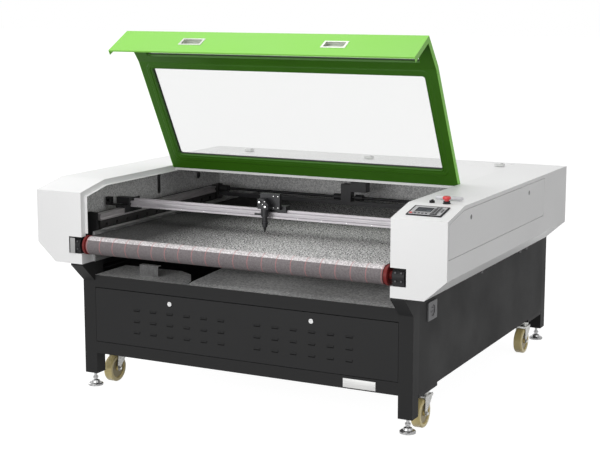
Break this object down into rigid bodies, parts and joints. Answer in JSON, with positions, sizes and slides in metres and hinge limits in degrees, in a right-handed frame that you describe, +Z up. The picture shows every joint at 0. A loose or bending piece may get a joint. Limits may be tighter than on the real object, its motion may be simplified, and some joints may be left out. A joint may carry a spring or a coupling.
{
  "type": "conveyor laser cutter",
  "caption": "Floor-standing laser cutter with a passing mesh conveyor, hinged window lid, gantry head and casters",
  "frame": {"origin": "middle of the machine's footprint, on the floor under the caster wheels", "axes": "+X to the right seen from the operator's side, +Y to the back, +Z up"},
  "size_m": [2.3, 2.2373, 1.9033],
  "materials": {
    "cabinet_black": "satin",
    "housing_white": "satin",
    "deck_white": "satin",
    "galvanised": "speckled",
    "mesh_steel": "woven",
    "table_steel": "satin",
    "rail_alloy": "satin",
    "dark_steel": "satin",
    "belt_rubber": "matt",
    "motor_black": "satin",
    "black_plastic": "matt",
    "tube_glass": "clear",
    "fitting_grey": "matt",
    "duct_zinc": "bright",
    "handle_grey": "satin",
    "frame_green": "gloss",
    "skin_green": "gloss",
    "clear_acrylic": "clear",
    "pull_grey": "satin",
    "lock_zinc": "bright",
    "lock_white": "satin",
    "roller_red": "gloss",
    "roller_steel": "satin",
    "pulley_white": "satin",
    "stop_red": "gloss",
    "fork_zinc": "zinc plated",
    "wheel_tan": "satin",
    "foot_zinc": "zinc plated"
  },
  "bodies": {
    "machine": {"cabinet_frame": "cabinet_black", "cabinet_panels": "cabinet_black", "left_pod": "housing_white", "right_pod": "housing_white", "rear_deck": "deck_white", "inner_walls": "galvanised", "belt_table": "table_steel", "mesh_belt": "mesh_steel", "waste_chute": "galvanised", "y_rails": "rail_alloy", "rail_carriers": "dark_steel", "idler_blocks": "dark_steel", "drive_belts": "belt_rubber", "drive_motors": "motor_black", "roller_bearings": "black_plastic", "control_panel": "black_plastic", "laser_tube": "tube_glass", "tube_holders": "black_plastic", "side_fittings": "fitting_grey", "exhaust_outlets": "duct_zinc", "bar_handle": "handle_grey"},
    "lid": {"lid_frame": "frame_green", "lid_skin": "skin_green", "lid_windows": "clear_acrylic", "lid_pulls": "pull_grey"},
    "front_door": {"front_door": "cabinet_black"},
    "door_lock_left": {"door_lock_left": "lock_zinc"},
    "door_lock_right": {"door_lock_right": "lock_zinc"},
    "side_door": {"side_door": "housing_white"},
    "side_lock_front": {"side_lock_front": "lock_zinc"},
    "side_lock_rear": {"side_lock_rear": "lock_zinc"},
    "tube_hatch": {"tube_hatch": "deck_white"},
    "hatch_lock_left": {"hatch_lock_left": "lock_white"},
    "hatch_lock_mid": {"hatch_lock_mid": "lock_white"},
    "hatch_lock_right": {"hatch_lock_right": "lock_white"},
    "gantry": {"x_beam": "rail_alloy", "gantry_ends": "dark_steel", "x_motor": "motor_black"},
    "laser_head": {"laser_head": "black_plastic"},
    "focus_tube": {"focus_tube": "dark_steel"},
    "front_roller": {"front_roller": "roller_red"},
    "rear_roller": {"rear_roller": "roller_steel"},
    "sync_shaft": {"sync_shaft": "dark_steel"},
    "idler_pulleys": {"idler_pulleys": "pulley_white"},
    "estop_button": {"estop_button": "stop_red"},
    "key_switch": {"key_switch": "black_plastic"},
    "fork_fl": {"fork_fl": "fork_zinc"},
    "wheel_fl": {"wheel_fl": "wheel_tan"},
    "foot_fl": {"foot_fl": "foot_zinc"},
    "fork_fr": {"fork_fr": "fork_zinc"},
    "wheel_fr": {"wheel_fr": "wheel_tan"},
    "foot_fr": {"foot_fr": "foot_zinc"},
    "fork_rl": {"fork_rl": "fork_zinc"},
    "wheel_rl": {"wheel_rl": "wheel_tan"},
    "foot_rl": {"foot_rl": "foot_zinc"},
    "fork_rr": {"fork_rr": "fork_zinc"},
    "wheel_rr": {"wheel_rr": "wheel_tan"},
    "foot_rr": {"foot_rr": "foot_zinc"},
    "brake_left": {"brake_left": "fork_zinc"},
    "brake_right": {"brake_right": "fork_zinc"}
  },
  "joints": [
    {"name": "lid_hinge", "type": "hinge", "parent": "machine", "child": "lid", "pos_m": [0, -0.19075, 1.124], "axis": [-1, 0, 0], "range_deg": [-61.4, 8.6]},
    {"name": "front_door_hinge", "type": "hinge", "parent": "machine", "child": "front_door", "pos_m": [0, -0.98975, 0.28], "axis": [1, 0, 0], "range_deg": [0, 95]},
    {"name": "door_lock_left_turn", "type": "hinge", "parent": "front_door", "child": "door_lock_left", "pos_m": [-0.407, -0.99375, 0.523], "axis": [0, -1, 0], "range_deg": [0, 90]},
    {"name": "door_lock_right_turn", "type": "hinge", "parent": "front_door", "child": "door_lock_right", "pos_m": [0.407, -0.99375, 0.523], "axis": [0, -1, 0], "range_deg": [0, 90]},
    {"name": "side_door_hinge", "type": "hinge", "parent": "machine", "child": "side_door", "pos_m": [1.145, -0.36275, 0.91], "axis": [0, 1, 0], "range_deg": [0, 100]},
    {"name": "side_lock_front_turn", "type": "hinge", "parent": "side_door", "child": "side_lock_front", "pos_m": [1.15, -0.79775, 1.065], "axis": [1, 0, 0], "range_deg": [0, 90]},
    {"name": "side_lock_rear_turn", "type": "hinge", "parent": "side_door", "child": "side_lock_rear", "pos_m": [1.15, 0.09225, 1.065], "axis": [1, 0, 0], "range_deg": [0, 90]},
    {"name": "tube_hatch_hinge", "type": "hinge", "parent": "machine", "child": "tube_hatch", "pos_m": [0, 0.76025, 1.125], "axis": [-1, 0, 0], "range_deg": [0, 100]},
    {"name": "hatch_lock_left_turn", "type": "hinge", "parent": "tube_hatch", "child": "hatch_lock_left", "pos_m": [-0.815, 0.58625, 1.13], "axis": [0, 0, 1], "range_deg": [-90, 0]},
    {"name": "hatch_lock_mid_turn", "type": "hinge", "parent": "tube_hatch", "child": "hatch_lock_mid", "pos_m": [0, 0.58625, 1.13], "axis": [0, 0, 1], "range_deg": [-90, 0]},
    {"name": "hatch_lock_right_turn", "type": "hinge", "parent": "tube_hatch", "child": "hatch_lock_right", "pos_m": [0.815, 0.58625, 1.13], "axis": [0, 0, 1], "range_deg": [0, 90]},
    {"name": "gantry_slide", "type": "slide", "parent": "machine", "child": "gantry", "axis": [0, 1, 0], "range_m": [-0.22, 0.8]},
    {"name": "head_slide", "type": "slide", "parent": "gantry", "child": "laser_head", "axis": [1, 0, 0], "range_m": [-0.78, 0.78]},
    {"name": "focus_slide", "type": "slide", "parent": "laser_head", "child": "focus_tube", "axis": [0, 0, 1], "range_m": [-0.015, 0.02]},
    {"name": "front_roller_spin", "type": "hinge", "parent": "machine", "child": "front_roller", "pos_m": [0, -1.06875, 0.809], "axis": [1, 0, 0], "continuous": true},
    {"name": "rear_roller_spin", "type": "hinge", "parent": "machine", "child": "rear_roller", "pos_m": [0, 1.03625, 0.809], "axis": [1, 0, 0], "continuous": true},
    {"name": "sync_spin", "type": "hinge", "parent": "machine", "child": "sync_shaft", "pos_m": [0, 0.37625, 0.924], "axis": [1, 0, 0], "range_deg": [-2950, 810]},
    {"name": "idler_spin", "type": "hinge", "parent": "machine", "child": "idler_pulleys", "pos_m": [0, -0.96375, 0.924], "axis": [1, 0, 0], "range_deg": [-2950, 810]},
    {"name": "estop_press", "type": "slide", "parent": "machine", "child": "estop_button", "axis": [0, 0, 1], "range_m": [-0.006, 0], "stiffness_N_per_m": 1500},
    {"name": "key_turn", "type": "hinge", "parent": "machine", "child": "key_switch", "pos_m": [0.978, -0.86475, 1.13], "axis": [0, 0, 1], "range_deg": [-90, 0]},
    {"name": "swivel_fl", "type": "hinge", "parent": "machine", "child": "fork_fl", "pos_m": [-0.9025, -0.73075, 0.176], "axis": [0, 0, 1], "continuous": true},
    {"name": "wheel_fl_spin", "type": "hinge", "parent": "fork_fl", "child": "wheel_fl", "pos_m": [-0.9025, -0.78375, 0.0725], "axis": [1, 0, 0], "continuous": true},
    {"name": "foot_fl_screw", "type": "slide", "parent": "machine", "child": "foot_fl", "axis": [0, 0, 1], "range_m": [-0.021, 0.02]},
    {"name": "swivel_fr", "type": "hinge", "parent": "machine", "child": "fork_fr", "pos_m": [0.9025, -0.73075, 0.176], "axis": [0, 0, 1], "continuous": true},
    {"name": "wheel_fr_spin", "type": "hinge", "parent": "fork_fr", "child": "wheel_fr", "pos_m": [0.9025, -0.78375, 0.0725], "axis": [1, 0, 0], "continuous": true},
    {"name": "foot_fr_screw", "type": "slide", "parent": "machine", "child": "foot_fr", "axis": [0, 0, 1], "range_m": [-0.021, 0.02]},
    {"name": "swivel_rl", "type": "hinge", "parent": "machine", "child": "fork_rl", "pos_m": [-0.9025, 0.85325, 0.176], "axis": [0, 0, 1], "continuous": true},
    {"name": "wheel_rl_spin", "type": "hinge", "parent": "fork_rl", "child": "wheel_rl", "pos_m": [-0.9025, 0.80025, 0.0725], "axis": [1, 0, 0], "continuous": true},
    {"name": "foot_rl_screw", "type": "slide", "parent": "machine", "child": "foot_rl", "axis": [0, 0, 1], "range_m": [-0.021, 0.02]},
    {"name": "swivel_rr", "type": "hinge", "parent": "machine", "child": "fork_rr", "pos_m": [0.9025, 0.85325, 0.176], "axis": [0, 0, 1], "continuous": true},
    {"name": "wheel_rr_spin", "type": "hinge", "parent": "fork_rr", "child": "wheel_rr", "pos_m": [0.9025, 0.80025, 0.0725], "axis": [1, 0, 0], "continuous": true},
    {"name": "foot_rr_screw", "type": "slide", "parent": "machine", "child": "foot_rr", "axis": [0, 0, 1], "range_m": [-0.021, 0.02]},
    {"name": "brake_left_pedal", "type": "hinge", "parent": "fork_fl", "child": "brake_left", "pos_m": [-0.9025, -0.70275, 0.1497], "axis": [-1, 0, 0], "range_deg": [0, 15]},
    {"name": "brake_right_pedal", "type": "hinge", "parent": "fork_fr", "child": "brake_right", "pos_m": [0.9025, -0.70275, 0.1497], "axis": [-1, 0, 0], "range_deg": [0, 15]}
  ],
  "couplings": [
    {"joint": "rear_roller_spin", "follows": "front_roller_spin", "ratio": 1},
    {"joint": "sync_spin", "follows": "gantry_slide", "rad_per_m": -62.893},
    {"joint": "idler_spin", "follows": "gantry_slide", "rad_per_m": -62.893}
  ]
}
